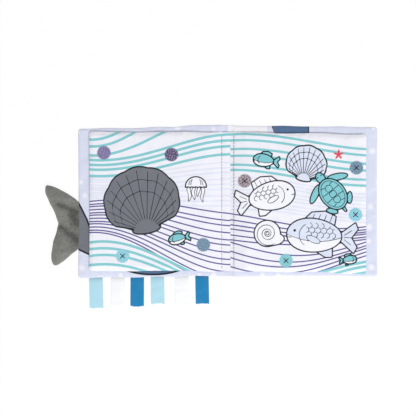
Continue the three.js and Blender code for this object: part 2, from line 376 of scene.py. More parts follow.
def polygon(x, y, corners):
    # Distance from a polygon's nearest side, less than 0 inside it.
    best = np.full(x.shape, np.inf)
    inside = np.zeros(x.shape, bool)
    for (ax, ay), (bx, by) in zip(corners, corners[1:] + corners[:1]):
        best = np.minimum(best, segment(x, y, ax, ay, bx, by))
        crosses = (ay > y) != (by > y)
        inside ^= crosses & (x < ax + (bx - ax) * (y - ay) / ((by - ay) or tiny))
    return np.where(inside, -best, best)


def blendShapes(a, b, soft):
    # The smaller of two distances, with the corner between them rounded.
    near = np.clip(0.5 + 0.5 * (b - a) / soft, 0, 1)
    return b * (1 - near) + a * near - soft * near * (1 - near)


class Print:
    # Layers of a printed cloth: stripes, filled shapes with outlines, and fine ink. A layer
    # holds the distance from its marks, and fill a colour with its cover.

    lines = ("ink", "teal", "purple", "pale")

    def __init__(self, x, y):
        self.x, self.y, self.unit = x, y, 1
        self.side = np.sign(np.mean(x))
        for layer in self.lines:
            setattr(self, layer, np.full(x.shape, 99.0))
        self.fill = np.zeros((*x.shape, 4))

    def aim(self, cx, cy, size=1, degrees=0, flip=1):
        # What is drawn next is about a centre, turned, in units of size and maybe mirrored.
        self.unit = size
        u, v = turned(self.x, self.y, cx, cy, degrees)
        return u * flip / size, v / size

    def paint(self, distance, ink, blur=penUser["blur"], strength=1.0):
        # Colour laid over what is there, with a soft edge.
        cover = np.clip(0.5 - distance * self.unit / blur, 0, 1) * strength
        kept = self.fill[..., 3] * (1 - cover)
        colour = np.array(linear(inks[ink])[:3])
        mixed = colour * cover[..., None] + self.fill[..., :3] * kept[..., None]
        self.fill[..., :3] = mixed / np.maximum(cover + kept, tiny)[..., None]
        self.fill[..., 3] = cover + kept

    def mark(self, distance):
        self.ink = np.minimum(self.ink, distance)

    def shape(self, distance, ink, line=penUser["outline"]):
        # A filled shape hides what was drawn under it and gets its own outline.
        self.paint(distance, ink)
        self.ink = np.maximum(self.ink, -distance * self.unit)
        if line:
            self.mark(np.abs(distance) * self.unit - line)

    def line(self, distance, within=-np.inf):
        self.mark(np.maximum(distance * self.unit - penUser["detail"], within * self.unit))

    def button(self, cx, cy, ink, cross=True, fleck=0.15):
        # A flecked disc, with two crossed threads.
        u, v = self.aim(cx, cy)
        disc = np.hypot(u, v) - penUser["button"]
        self.shape(disc, ink, 0)
        noise = softNoise(self.x, self.y, penUser["fleckSize"], 17)
        for bound, fleckInk in ((0.35 - noise, "outline"), (0.7 + noise, "whiteFill")):
            flecks = np.maximum(disc + penUser["buttonRim"], bound)
            self.paint(flecks, fleckInk, penUser["fleckBlur"], fleck)
        reach = penUser["cross"]
        for rise in (-reach, reach) if cross else ():
            self.mark(segment(u, v, -reach, -rise, reach, rise) - penUser["crossHalf"])


def addPrints(piece, *arts):
    # The prints of a piece's parts, one after the other as its points are.
    for layer in Print.lines:
        addField(piece, layer, np.concatenate([getattr(art, layer).ravel() for art in arts]))
    addField(piece, "fill", np.concatenate([art.fill.reshape(-1, 4) for art in arts]))


# Sea animals, drawn about their middle with a half length of about 1

fishUser = {
    "body": (0.92, 0.56),
    "tail": [(-0.76, 0.0), (-1.34, 0.48), (-1.42, 0.3), (-1.22, 0.0), (-1.42, -0.3), (-1.34, -0.48)],
    "back": [(-0.62, 0.3), (-0.66, 0.66), (-0.3, 0.8), (0.12, 0.74), (0.42, 0.42)],
    "under": [(-0.6, -0.3), (-0.62, -0.66), (-0.42, -0.68), (-0.08, -0.5)],
    "finRound": 0.03,
    "backRays": (-0.5, -0.3, -0.1, 0.1),
    "tailRays": (-0.24, 0.0, 0.24),
    "rayMargin": 0.02,
    "scale": 0.09,
    "detailFrom": 14,  # millimetres of half length from which it has rays and scales
}


def fish(art, cx, cy, size, degrees, ink, belly=None, flip=1):
    # A deep round fish: body, fan-shaped tail, back fin and breast fin and a gill. A large one
    # has rays on its fins and rows of scales too.
    user = fishUser
    u, v = art.aim(cx, cy, size, degrees, flip)
    large = size > user["detailFrom"]
    body = ellipse(u, v * (1 - 0.12 * np.clip(u, -1, 1)), *user["body"])
    tail, back, under = (polygon(u, v, user[fin]) - user["finRound"] for fin in ("tail", "back", "under"))
    tail = blendShapes(tail, body, 0.1)
    art.shape(np.minimum(np.minimum(back, under), tail), ink)
    if large:
        for x in user["backRays"]:
            art.line(segment(u, v, x, 0.5, x - 0.06, 0.7), back + user["rayMargin"])
        for y in user["tailRays"]:
            art.line(segment(u, v, -1.0, y * 0.3, -1.24, y), tail + user["rayMargin"])
    art.shape(body, ink)
    if belly:
        line = v + 0.2 - 0.22 * u * u
        art.paint(np.maximum(body + 0.42 / size, line), belly)
        art.line(np.abs(line), body)
    if large:
        inside = np.maximum(np.maximum(body + 0.1, u - 0.3), -0.12 - v)
        for k in range(15):
            row, column = divmod(k, 5)
            x, y = -0.62 + 0.2 * column + 0.1 * (row % 2), 0.02 + 0.15 * row
            art.line(np.abs(circle(u, v, x, y, user["scale"])), np.maximum(inside, u - x))
        breast = ellipse(*turned(u, v, 0.02, -0.14, 200), 0.24, 0.1)
        art.shape(np.maximum(breast, body), ink, penUser["detail"])
    art.line(np.abs(circle(u, v, 0.1, 0, 0.4)), np.maximum(np.abs(v) - 0.36, 0.3 - u))
    art.mark(circle(u, v, 0.66, 0.12, 0.045) * size)
    art.line(segment(u, v, 0.9, -0.1, 0.76, -0.12))


scallopUser = {"hinge": 0.92, "ribs": 6, "ribTurn": 0.185, "bands": (0.62, 0.8), "margin": 0.1}


def scallop(art, cx, cy, radius, degrees, ink):
    # A fan shell. From its hinge the rim lies at 1.84 radii times the cosine of the angle to a
    # small power, with shallow lobes; ribs run along the angle and two ears flank the hinge.
    user = scallopUser
    u, v = art.aim(cx, cy, radius, degrees)
    v = v + user["hinge"]
    angle, reach = np.arctan2(u, v), np.hypot(u, v)
    facing = np.clip(np.cos(np.clip(angle, -1.5, 1.5)), 0.02, 1)
    rim = 1.84 * facing**0.62 + 0.035 * np.abs(np.cos(angle * 8.5))
    fan = (reach - rim) * np.clip(facing + 0.25, 0, 1)
    ears = ellipse(u, v - 0.06, 0.4, 0.13)
    whole = blendShapes(np.maximum(fan, (np.abs(angle) - 1.25) * reach), ears, 0.08)
    art.shape(whole, ink, penUser["outline"] * 1.2)
    inner = fan + user["margin"]
    for rib in np.arange(-user["ribs"], user["ribs"] + 1):
        art.line(np.abs(angle - rib * user["ribTurn"]) * reach, np.maximum(inner, 0.34 - reach))
    for share in user["bands"]:
        art.line(np.abs(reach - share * rim), np.maximum(inner, np.abs(angle) - 1.2))


turtleUser = {
    "shell": (0.86, 0.64),
    "shellRim": 0.12,
    "limbs": [  # place, turn, half length and half width
        (0.55, 0.72, 118, 0.52, 0.17),
        (0.55, -0.72, -118, 0.52, 0.17),
        (-0.66, 0.56, -140, 0.3, 0.13),
        (-0.66, -0.56, 140, 0.3, 0.13),
        (1.02, 0, 0, 0.3, 0.22),
        (-0.92, 0, 0, 0.2, 0.07),
    ],
    "plates": (-0.34, 0.0, 0.34),
    "plateHalf": 0.17,
    "spokes": (-0.5, -0.17, 0.17, 0.5),
}


def turtle(art, cx, cy, size, degrees, ink, shellInk):
    # A turtle from above: an oval shell with plates, four flippers, a head and a short tail.
    user = turtleUser
    u, v = art.aim(cx, cy, size, degrees)
    parts = [ellipse(*turned(u, v, x, y, turn), *half) for x, y, turn, *half in user["limbs"]]
    shell = ellipse(u, v, *user["shell"])
    art.shape(blendShapes(np.minimum.reduce(parts), shell, 0.05), ink)
    art.shape(shell, shellInk)
    rim = shell + user["shellRim"]
    art.line(np.abs(rim))
    for x in user["plates"]:
        plate = np.maximum(np.abs(u - x) * 0.866 + np.abs(v) * 0.5, np.abs(v))  # a hexagon
        art.line(np.abs(plate - user["plateHalf"]), rim)
    for side in (-1, 1):
        for x in user["spokes"]:
            art.line(segment(u, v * side, x, user["plateHalf"], x * 1.2, user["shell"][1]), rim)
        art.mark(circle(u, v, 1.12, 0.1 * side, 0.035) * size)


def snail(art, cx, cy, radius, degrees, ink):
    # A round sea snail shell whose line winds in: its radius shrinks by the same share a turn.
    u, v = art.aim(cx, cy, radius, degrees)
    reach, angle = np.hypot(u, v), np.arctan2(v, u)
    mouth = ellipse(u - 0.55, v + 0.62, 0.62, 0.4)
    art.shape(blendShapes(reach - 1, mouth, 0.12), ink)
    turns = np.log(np.maximum(reach, 0.01)) / np.log(0.52) + (angle + 0.75) / (2 * np.pi)
    wind = np.abs(turns - np.round(turns)) * reach * 0.65
    art.line(wind, np.maximum(reach - 0.95, 0.08 - reach))


def jelly(art, cx, cy, size, ink):
    # A jellyfish: a half-round bell with a scalloped hem and waving arms.
    u, v = art.aim(cx, cy, size)
    for k in range(4):
        wave = -0.54 + 0.36 * k + 0.06 * np.sin(6 * v + k * 1.3)
        tip = -1.05 - 0.25 * np.sin(k * 2.2 + 0.8)
        taper = np.clip((v - tip) / 0.5, 0, 1) ** 0.5
        arm = np.maximum(np.abs(u - wave) - 0.125 * taper, np.maximum(v, tip - v))
        art.shape(arm, ink, penUser["detail"])
    bell = np.maximum(ellipse(u, v, 0.86, 0.8), -v - 0.02 - 0.05 * np.abs(np.sin(u * 9.5)))
    art.shape(bell, ink)
    for ring in (0.5, 0.68):
        art.line(np.abs(ellipse(u, v, 0.86 * ring, 0.8)), bell + 0.14)


def seaStar(art, cx, cy, radius, ink):
    u, v = art.aim(cx, cy, radius)
    art.shape(np.hypot(u, v) - 0.66 - 0.34 * np.cos(5 * np.arctan2(u, v)), ink, 0)


def flowStripes(art, layer, half, count, left, right, bulge=0.0):
    # Curves across a page. Each runs from its height at the left edge to its height at the
    # right edge along a smooth step, with a bulge of half a sine wave on top. The distance from
    # it is the height over it, lessened by its slope.
    first, last = sorted(art.side * edge for edge in penUser["pageEdges"])
    for k in range(count):
        share = (k + 0.12 * np.sin(2.1 * k + left[0])) / (count - 1)
        atLeft, atRight = (ends[0] + (ends[1] - ends[0]) * share for ends in (left, right))

        def lineY(x):
            along = np.clip((x - first) / (last - first), -0.05, 1.05)
            step = along * along * (3 - 2 * along)
            return atLeft + (atRight - atLeft) * step + bulge * np.sin(np.pi * along + 0.5 * share)

        slope = lineY(art.x + 0.5) - lineY(art.x - 0.5)
        distance = np.abs(art.y - lineY(art.x)) / np.hypot(1, slope) - half
        setattr(art, layer, np.minimum(getattr(art, layer), distance))


def leftPagePrint(x, y):
    art = Print(x, y)
    flowStripes(art, "teal", 1.4, 3, (66, 52), (150, 98), -4)
    flowStripes(art, "teal", 1.4, 4, (45, 30), (72, 49), -4)
    flowStripes(art, "pale", 0.8, 9, (26, 5), (42, -6), -2)
    flowStripes(art, "purple", 0.7, 12, (0, -36), (-12, -86), 5)
    flowStripes(art, "teal", 1.4, 4, (-43, -71), (-86, -98), 8)
    scallop(art, -92, 2, 37, 10, "grey")
    jelly(art, -34, 16, 13, "whiteFill")
    art.button(-60, 50, "darkPurple", cross=False, fleck=0.25)
    art.button(-132, 52, "lilac", cross=False)
    art.button(-26, -46, "slate", cross=False)
    art.button(-112, -58, "skyBlue")
    fish(art, -54, -40, 10, 14, "tealFill", "whiteFill", flip=-1)
    return art


def rightPagePrint(x, y):
    art = Print(x, y)
    flowStripes(art, "teal", 1.3, 4, (72, 48), (56, 34), 2)
    flowStripes(art, "teal", 1.3, 2, (40, 33), (24, 16), 0)
    flowStripes(art, "pale", 0.8, 9, (26, -10), (8, -22), 2)
    flowStripes(art, "purple", 0.7, 6, (-14, -38), (-27, -43), -6)
    flowStripes(art, "purple", 0.7, 5, (-44, -72), (-43, -64), -14)
    flowStripes(art, "teal", 1.4, 4, (-86, -118), (-63.5, -84.5), -6)
    scallop(art, 84, 41, 20, -12, "paleFill")
    fish(art, 47, 6, 27, 12, "whiteFill")
    turtle(art, 112, 8, 21, 128, "tealFill", "tealFill")
    fish(art, 92, -36, 32, -4, "paleFill", "whiteFill", flip=-1)
    snail(art, 42, -34, 14, 14, "whiteFill")
    fish(art, 38, 44, 12, -8, "tealFill", "whiteFill", flip=-1)
    fish(art, 130, -62, 8, 6, "tealFill", "whiteFill")
    seaStar(art, 118, 50, 5.4, "coral")
    art.button(18, 22, "mauve", fleck=0.42)
    art.button(137, 36, "slate")
    art.button(136, -14, "skyBlue")
    art.button(62, -63, "tealFill")
    return art


def versoPrint(x, y):
    # The pages on the other side of the leaves: stripes and buttons on both, and on each page
    # its own sea animals.
    art = Print(x, y)
    flowStripes(art, "teal", 1.3, 5, (66, 30), (56, 26), 8)
    flowStripes(art, "pale", 0.8, 8, (20, -12), (16, -10), 6)
    flowStripes(art, "purple", 0.7, 10, (-20, -66), (-18, -62), -7)
    if art.side < 0:
        fish(art, -62, -12, 30, 6, "paleFill", "whiteFill", flip=-1)
        scallop(art, -114, 30, 19, -12, "tealFill")
        snail(art, -116, -40, 12, 170, "whiteFill")
        art.button(-30, 48, "lilac")
        art.button(-134, -6, "slate")
    else:
        turtle(art, 58, -6, 30, 24, "tealFill", "paleFill")
        jelly(art, 112, 34, 17, "whiteFill")
        fish(art, 116, -36, 15, -6, "tealFill", "whiteFill")
        seaStar(art, 84, 52, 5.4, "coral")
        art.button(28, 44, "skyBlue")
        art.button(136, 4, "darkPurple", cross=False)
    return art


def dottedPrint(x, y, seed=13):
    # Soft white dots on a loose, jittered grid. The covers' outsides have nothing else.
    art = Print(x, y)
    draw = np.random.default_rng(seed)
    spacing = penUser["dotSpacing"]
    for column in np.arange(0, 7):
        for row in np.arange(-4, 5):
            jx, jy, size = draw.uniform((-7, -7, 1.8), (7, 7, 3.2))
            cx = art.side * (penUser["dotFrom"] + column * spacing) + jx
            cy = row * spacing + (spacing / 2 if column % 2 else 0) + jy
            dot = circle(x, y, cx, cy, size)
            art.paint(dot, "dot", penUser["dotBlur"], penUser["dotStrength"])
    return art


liningUser = {
    "oval": (-80, -62, 40, 16),  # middle, half length and half height
    "wedge": [(-162, 2), (-157, -7), (-151, -19), (-147, -30), (-140, -60), (-147, -56.5), (-162, -49.5)],
    "wedgeRound": 0.4,
    "block": [(53, 66), (44, 90), (86.5, 90), (86.5, 66)],
    "paleBlock": [(0, 60), (0, 90), (40, 90), (46, 60)],
    "paleBlur": 1.5,
    "outlines": (1.0, 1.0, 0.65),  # of the oval, the wedge and the block
}


def frontLiningPrint(x, y):
    user = liningUser
    art = dottedPrint(x, y, 5)
    cx, cy, halfLong, halfHigh = user["oval"]
    art.shape(ellipse(x - cx, y - cy, halfLong, halfHigh), "navy", user["outlines"][0])
    art.shape(polygon(x, y, user["wedge"]) - user["wedgeRound"], "grey", user["outlines"][1])
    return art


def addPaleBlock(art):
    # The pale block at the head starts at the middle of the spine.
    block = polygon(art.x, art.y, liningUser["paleBlock"])
    art.paint(block, "spineWhite", liningUser["paleBlur"])
    return art


def spinePrint(x, y):
    return addPaleBlock(Print(x, y))


def backLiningPrint(x, y):
    art = addPaleBlock(dottedPrint(x, y, 9))
    art.shape(polygon(x, y, liningUser["block"]), "navy", liningUser["outlines"][2])
    return art


# Shared effects as node groups

weaveUser = {"cloudScale": 90, "cloudDetail": 4, "fibreScale": 2600, "fibre": 0.6, "threadShade": 0.03}


def newGroup(name, takes, gives):
    # A group with named inputs and outputs, each of a kind.
    group = bpy.data.node_groups.new(name, "ShaderNodeTree")
    for side, labels in (("INPUT", takes), ("OUTPUT", gives)):
        for label, kind in labels.items():
            group.interface.new_socket(label, in_out=side, socket_type=f"NodeSocket{kind}")
    start = group.nodes.new("NodeGroupInput")
    return group, start.outputs, group.nodes.new("NodeGroupOutput").inputs


def weaveGroup(user):
    # Two crossed sets of threads and a cloudy unevenness; out come a height and a shade.
    takes = {"Thread": "Float", "Cloud": "Float"}
    group, given, out = newGroup("clothWeave", takes, {"Height": "Float", "Shade": "Float"})
    place = objectPlace(group)
    split = addNode(group, "SeparateXYZ", {0: place}).outputs
    turns = mathNode(group, "DIVIDE", 2 * np.pi / mm, given["Thread"])
    waves = [mathNode(group, "SINE", mathNode(group, "MULTIPLY", split[axis], turns)) for axis in "XY"]
    cross = mathNode(group, "MULTIPLY", *waves)
    cloud = noiseAt(group, place, user["cloudScale"], user["cloudDetail"])
    shade = mathNode(group, "MULTIPLY", mathNode(group, "SUBTRACT", cloud, 0.5), given["Cloud"])
    fibre = noiseAt(group, place, user["fibreScale"])
    height = mathNode(group, "MULTIPLY_ADD", fibre, user["fibre"], cross)
    setSocket(group, out["Height"], height)
    setSocket(group, out["Shade"], mathNode(group, "MULTIPLY_ADD", cross, user["threadShade"], shade))
    return group


def printGroup():
    # Lays the stripes, the filled shapes and the ink over a cloth's own colour.
    group, given, out = newGroup("printedLayers", {"Cloth": "Color"}, {"Colour": "Color"})
    colour = given["Cloth"]

    def inkOver(colour, name, ink):
        # Full ink from 0.1 millimetres inside the line and none from 0.1 outside it.
        distance = fieldOf(group, name)["Fac"]
        share = mathNode(group, "MULTIPLY_ADD", distance, -5.0, 0.5, use_clamp=True)
        return mixColour(group, share, colour, linear(inks[ink]))

    for layer in ("pale", "purple", "teal"):
        colour = inkOver(colour, layer, layer)
    fill = fieldOf(group, "fill")
    colour = mixColour(group, fill["Alpha"], colour, fill["Color"])
    setSocket(group, out["Colour"], inkOver(colour, "ink", "outline"))
    return group


weave = weaveGroup(weaveUser)
printed = printGroup()

clothUser = {
    "Thread": 0.45,  # millimetres from one thread to the next
    "Cloud": 0.05,
    "relief": 0.5,
    "depth": 0.08,
    "shader": {"Roughness": 0.82, "Sheen Weight": 0.12, "Sheen Roughness": 0.5, "Specular IOR Level": 0.25},
}


def clothMaterial(name, base, user):
    # Woven cloth with its print, made lighter and darker by the weave's shade.
    material, tree = newMaterial(name)
    values = {label: user[label] for label in ("Thread", "Cloud")}
    threads = addNode(tree, "Group", values, node_tree=weave).outputs
    layers = addNode(tree, "Group", {"Cloth": linear(inks[base])}, node_tree=printed).outputs
    level = mathNode(tree, "ADD", threads["Shade"], 1.0)
    shaded = addNode(tree, "HueSaturation", {"Value": level, "Color": layers["Colour"]})
    dressShader(tree, shaded.outputs[0], threads["Height"], user)
    return material


pageCloth = clothMaterial("pageCloth", "page", clothUser)
liningCloth = clothMaterial("liningCloth", "lavender", clothUser)
outerCloth = clothMaterial("outerCloth", "lavender", clothUser)
print("cloth materials made")


# Padded panels: covers and leaves

panelUser = {
    "drawIn": 0.5,
    "wobble": 0.35,
    "wobbleLength": 46.0,
    "puckerReach": 6.0,
    "crinkle": 0.15,
    "ridge": 0.7,
    "ridgeSize": 1.6,  # times the crinkle's
    "calmEdge": 3.0,
    "calmFold": 6.0,
    "overTop": 0.1,
}

leafUser = {
    **panelUser,
    "step": 0.7,
    "corner": 3.8,
    "roll": 5.5,
    "foldRoll": 21.5,
    "foldRise": 11.0,
    "rimRadius": 0.6,
    "rimHalf": 0.45,
    "domeLoss": 0.12,
    "puckerHeight": 0.3,
    "puckerLength": 8.0,
    "crinkleSize": 24.0,
    "wrinkle": 0.55,
    "stitchAt": 1.1,  # from the inner edge
    "stitchWidth": 0.8,
    "stitchDepth": 0.25,
    "stitchRipple": (0.3, 4),  # share and length
}

coverUser = {
    **panelUser,
    "step": 1.15,
    "corner": 3.4,
    "roll": 3.0,
    "foldRoll": 5.0,
    "foldRise": 1.0,
    "rimRadius": 1.0,
    "rimHalf": 0.8,
    "domeLoss": 0.05,
    "puckerHeight": 0.2,
    "puckerLength": 9.0,
    "crinkleSize": 30.0,
    "wrinkle": 0.8,
}


def panelSurface(place, user, seed):
    # Top and bottom heights over a round-cornered plan. A height is the seam's, plus a small
    # quarter-circle rim, plus the panel's swell: a quarter sine wave in from every edge, less
    # towards the corners. Puckers run in from the edges and crinkles cover the rest.
    width, height = place["end"] - place["start"], place["high"] - place["low"]
    across, up = fineLines(width, user["step"]), fineLines(height, user["step"])
    if place["side"] < 0:
        across = across[::-1]
    a, u = np.meshgrid(across, up)
    free = width - a  # from the fore-edge
    edgeA, edgeU = np.minimum(a, free), np.minimum(u, height - u)
    aShare, uShare = 2 * a / width - 1, (u - height / 2) / (height / 2)

    # The plan: rounded corners at the fore-edge, and sides that draw in between the corners.
    corner, drawIn = user["corner"], user["drawIn"]
    intoCorner = np.clip(np.abs(u - height / 2) - (height / 2 - corner), 0, corner)
    inset = np.where(aShare > 0, corner - np.sqrt(corner**2 - intoCorner**2), 0)
    pull = drawIn * (1 - uShare**2) * np.clip(aShare, 0, 1)
    x = place["side"] * (place["start"] + width / 2 + aShare * (width / 2 - inset) - pull)
    pastFold = np.clip(a / max(place["margin"], 1), 0, 1)
    y = uShare * (height / 2 - drawIn * (1 - aShare**2) * pastFold)
    y = y + (place["high"] + place["low"]) / 2 - place["skew"] * a / width
    y = y + place["flare"] * (1 - a / width) * np.clip(uShare, 0, 1)
    y = y + user["wobble"] * lineNoise(a, user["wobbleLength"], seed + 7) * np.abs(uShare) ** 6

    # The heights: rim, swell, puckers, crinkles, the dent of the stitches and the wrinkles.
    half, roll = user["rimHalf"], user["roll"]
    swell = quarterWave(free, roll) * quarterWave(edgeU, roll)
    fromFold = quarterWave(a, user["foldRoll"])
    dome = 1 - user["domeLoss"] * (1 - (1 - aShare**2) * (1 - uShare**2))
    rim = roundEdge(edgeA, user["rimRadius"]) * roundEdge(edgeU, user["rimRadius"])
    seam = place["foldSeam"] + (place["seam"] - place["foldSeam"]) * np.clip(a / user["foldRise"], 0, 1)
    middle = place["foldSeam"] + half + (place["top"] - place["foldSeam"] - half) * fromFold
    puckers = 0
    for along, inwards, more in ((u, free, 0), (a, edgeU, 1)):
        pleats = lineNoise(along, user["puckerLength"], seed + more)
        puckers = puckers + pleats * np.exp(-inwards / user["puckerReach"])
    inward = quarterWave(np.minimum(free, edgeU), user["calmEdge"])
    creases = softNoise(x, y, user["crinkleSize"], seed + 2)
    ridges = 1 - np.abs(softNoise(x, y, user["crinkleSize"] * user["ridgeSize"], seed + 3))
    detail = user["puckerHeight"] * puckers * inward
    detail = detail + user["crinkle"] * (creases + user["ridge"] * ridges) * swell * fromFold
    if place["margin"]:
        nearStitch = np.exp(-(((a - user["stitchAt"]) / user["stitchWidth"]) ** 2))
        ripple, rippleLength = user["stitchRipple"]
        uneven = 1 + ripple * lineNoise(u, rippleLength, seed + 4)
        detail = detail - user["stitchDepth"] * nearStitch * uneven
    above, below = wrinklesOn(place, across, up, seed)
    pastMargin = np.minimum(np.clip(a - place["margin"], 0, None), free)
    keep = user["wrinkle"] * inward * np.clip(pastMargin / user["calmFold"], 0, 1) * rim
    top = seam + half * rim + (middle - seam - half) * swell * dome + detail * rim + above * keep
    # A soft limit leaves room for the other page when the book is closed.
    limit = place["top"] + user["overTop"]
    room = limit - top
    top = limit - (room + np.hypot(room, 2 * user["overTop"])) / 2
    low = seam - half * rim - (place["seam"] - place["bottom"] - half) * swell * fromFold
    low = np.maximum(low + below * keep, place["bottom"])
    return x, y, top, np.minimum(low, top - half * rim)


simulationUser = {
    "points": 46,  # along each side of the simulated panel
    "start": 1.2,  # half height at the start, in millimetres
    "startRoll": 12,
    "uneven": 0.12,
    "unevenSize": 16,
    "frames": 20,
    "smoothing": 4,
    "height": 0.3,  # spread of the wrinkles, in millimetres
    "highest": 0.75,
    "cloth": {
        "quality": 5,
        "mass": 0.2,
        "tension_stiffness": 12,
        "compression_stiffness": 12,
        "shear_stiffness": 4,
        "bending_stiffness": 0.15,
        "use_pressure": True,
        "uniform_pressure_force": 3.0,
        "vertex_group_shrink": "edge",
        "shrink_max": 0.06,
    },
}


def splineWeights(places, count):
    # How much each of count even points adds at the given places, by the cubic B-spline.
    distance = np.abs(places[:, None] - np.arange(count)[None, :])
    near = 2 / 3 - distance**2 + distance**3 / 2
    far = np.clip(2 - distance, 0, None) ** 3 / 6
    weights = np.where(distance < 1, near, far)
    return weights / weights.sum(axis=1, keepdims=True)


def smoothed(field, times):
    # Each value becomes the mean of itself and its neighbours, weighed 1 2 1 along both
    # directions, several times over.
    for _ in range(times):
        for _ in range(2):
            padded = np.pad(field, ((1, 1), (0, 0)), mode="edge")
            field = ((padded[:-2] + 2 * padded[1:-1] + padded[2:]) / 4).T
    return field


def simulatedWrinkles(width, height, seed):
    # A flat pillow is blown up with its sewn edge drawn in. What its upper and its lower side
    # have beyond a smooth swell are the wrinkles, given on an even grid.
    user = simulationUser
    count, roll = user["points"], user["startRoll"]
    a, u = np.meshgrid(np.linspace(0, width, count), np.linspace(0, height, count))
    rise = user["start"] * quarterWave(np.minimum(a, width - a), roll)
    rise = rise * quarterWave(np.minimum(u, height - u), roll)
    rise = rise * (1 + user["uneven"] * softNoise(a, u, user["unevenSize"], seed))
    pillow, upper, lower = addPillow("pillow", a, u, rise, -rise)
    pillow.vertex_groups.new(name="edge").add(upper[upper == lower].tolist(), 1.0, "REPLACE")
    cloth = pillow.modifiers.new("cloth", "CLOTH")
    for setting, value in user["cloth"].items():
        setattr(cloth.settings, setting, value)
    cloth.settings.effector_weights.gravity = 0
    cloth.collision_settings.use_collision = False
    cloth.collision_settings.use_self_collision = False
    scene = bpy.context.scene
    for moment in range(1, user["frames"] + 1):
        scene.frame_set(moment)
    shape = pillow.evaluated_get(bpy.context.evaluated_depsgraph_get()).to_mesh()
    swollen = np.empty(len(shape.vertices) * 3)
    shape.vertices.foreach_get("co", swollen)
    swollen = swollen[2::3] / mm
    bpy.data.objects.remove(pillow)
    scene.frame_set(1)
    for side in (swollen[upper], swollen[lower]):
        wrinkles = smoothed(side - smoothed(side, user["smoothing"]), 1)
        spread = max(float(np.std(wrinkles)), tiny)
        yield np.clip(wrinkles / spread * user["height"], -user["highest"], user["highest"])


def wrinklesOn(place, across, up, seed):
    width, height = place["end"] - place["start"], place["high"] - place["low"]
    count = simulationUser["points"]
    alongAcross = splineWeights(across / width * (count - 1), count)
    alongUp = splineWeights(up / height * (count - 1), count)
    return [alongUp @ side @ alongAcross.T for side in simulatedWrinkles(width, height, seed)]


def addPanel(name, place, user, seed, faceUp, faceDown, materials):
    x, y, top, low = panelSurface(place, user, seed)
    piece, _, _ = addPillow(name, x, y, top, low, materials)
    addPrints(piece, faceUp(x, y), faceDown(x[1:-1, 1:-1], y[1:-1, 1:-1]))
    return piece


leafLow, leafHigh = boxOf("left_leaf_front_cloth")
leafUnder, _ = boxOf("left_leaf_back_cloth")
rightLow, rightHigh = boxOf("right_leaf_front_cloth")
marginLow, _ = boxOf("right_page_margin")
liningLow, liningHigh = boxOf("back_cover_lining")
coverLow, coverHigh = boxOf("back_cover_outer_cloth")
spineLow, spineHigh = boxOf("spine_lining")
seatUser = {
    "overhang": 0.1,  # how far a panel's cloth goes past its solid
    "marginSeam": 0.55,  # from the margin's underside up to the leaf's seam at the fold
    "bendFrom": 0.3,  # from a leaf's inner edge
}

leafPlace = {
    "start": marginLow[0] - seatUser["overhang"],
    "end": rightHigh[0] + seatUser["overhang"],
    "margin": rightLow[0] - marginLow[0],
    "low": leafLow[1],
    "high": leafHigh[1],
    "seam": leafLow[2],
    "foldSeam": marginLow[2] + seatUser["marginSeam"],
    "top": leafHigh[2],
    "bottom": leafUnder[2],
    "flare": 0.0,
}
leftLeafPlace = {**leafPlace, "side": -1, "skew": 0.0}
rightLeafPlace = {**leafPlace, "side": 1, "skew": 2.4}

coverPlace = {
    "start": liningLow[0],
    "end": coverHigh[0] + seatUser["overhang"],
    "margin": 0.0,
    "low": coverLow[1],
    "high": liningHigh[1],
    "seam": liningLow[2],
    "foldSeam": liningLow[2],
    "top": liningHigh[2],
    "bottom": 0.0,
}
frontPlace = {**coverPlace, "side": -1, "skew": 2.0, "flare": 2.2}
backPlace = {**coverPlace, "side": 1, "skew": 0.0, "flare": 1.8}


def foldPoint(side, x, z):
    # A point beside the spine, in metres.
    return (side * x * mm, 0, z * mm)


def addLeaf(name, place, seed, faceUp):
    piece = addPanel(name, place, leafUser, seed, faceUp, versoPrint, [pageCloth])
    nodes = [f"{name}_front_cloth", f"{name}_back_cloth", name.replace("leaf", "page") + "_margin"]
    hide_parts(*nodes)
    first = place["start"] + seatUser["bendFrom"]
    start = foldPoint(place["side"], first, place["foldSeam"])
    end = foldPoint(place["side"], first + place["margin"], place["seam"])
    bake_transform(piece)


def addCover(name, place, seed, faceUp):
    materials = [liningCloth, outerCloth]
    piece = addPanel(f"{name}_cloth", place, coverUser, seed, faceUp, dottedPrint, materials)
    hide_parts(f"{name}_outer_cloth", f"{name}_lining")
    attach(piece, name)


addLeaf("left_leaf", leftLeafPlace, 11, leftPagePrint)
addLeaf("right_leaf", rightLeafPlace, 23, rightPagePrint)
addCover("front_cover", frontPlace, 31, frontLiningPrint)
addCover("back_cover", backPlace, 47, backLiningPrint)
print("covers and leaves made")


# Spine and gutter: strips along the folds

stripStep = 0.63  # millimetres between the rows of a strip
halves = ((-1, "front", "left"), (1, "back", "right"))


def addStrip(name, xs, length, topAt, lowAt, materials, printOf, flare=0.0):
    # A closed strip along the gutter, its top and bottom heights given across it.
    v = np.linspace(-length / 2, length / 2, int(length / stripStep))
    x, v = np.meshgrid(np.sort(xs), v)
    y = v + flare * np.clip(v / (length / 2), 0, 1) ** 4
    upper = np.arange(x.size).reshape(x.shape)
    loop = np.concatenate([upper[0, :-1], upper[:-1, -1], upper[-1, :0:-1], upper[:0:-1, 0]])
    ahead = np.roll(loop, -1)
    walls = np.stack([loop + x.size, ahead + x.size, ahead, loop], axis=1)
    points = np.concatenate([pointsOf(x, y, topAt(x, y)), pointsOf(x, y, lowAt(x, y))])
    piece = addSkin(name, points, upper, upper + x.size, materials, walls)
    addPrints(piece, printOf(np.concatenate([x, x]), np.concatenate([y, y])))
    return piece


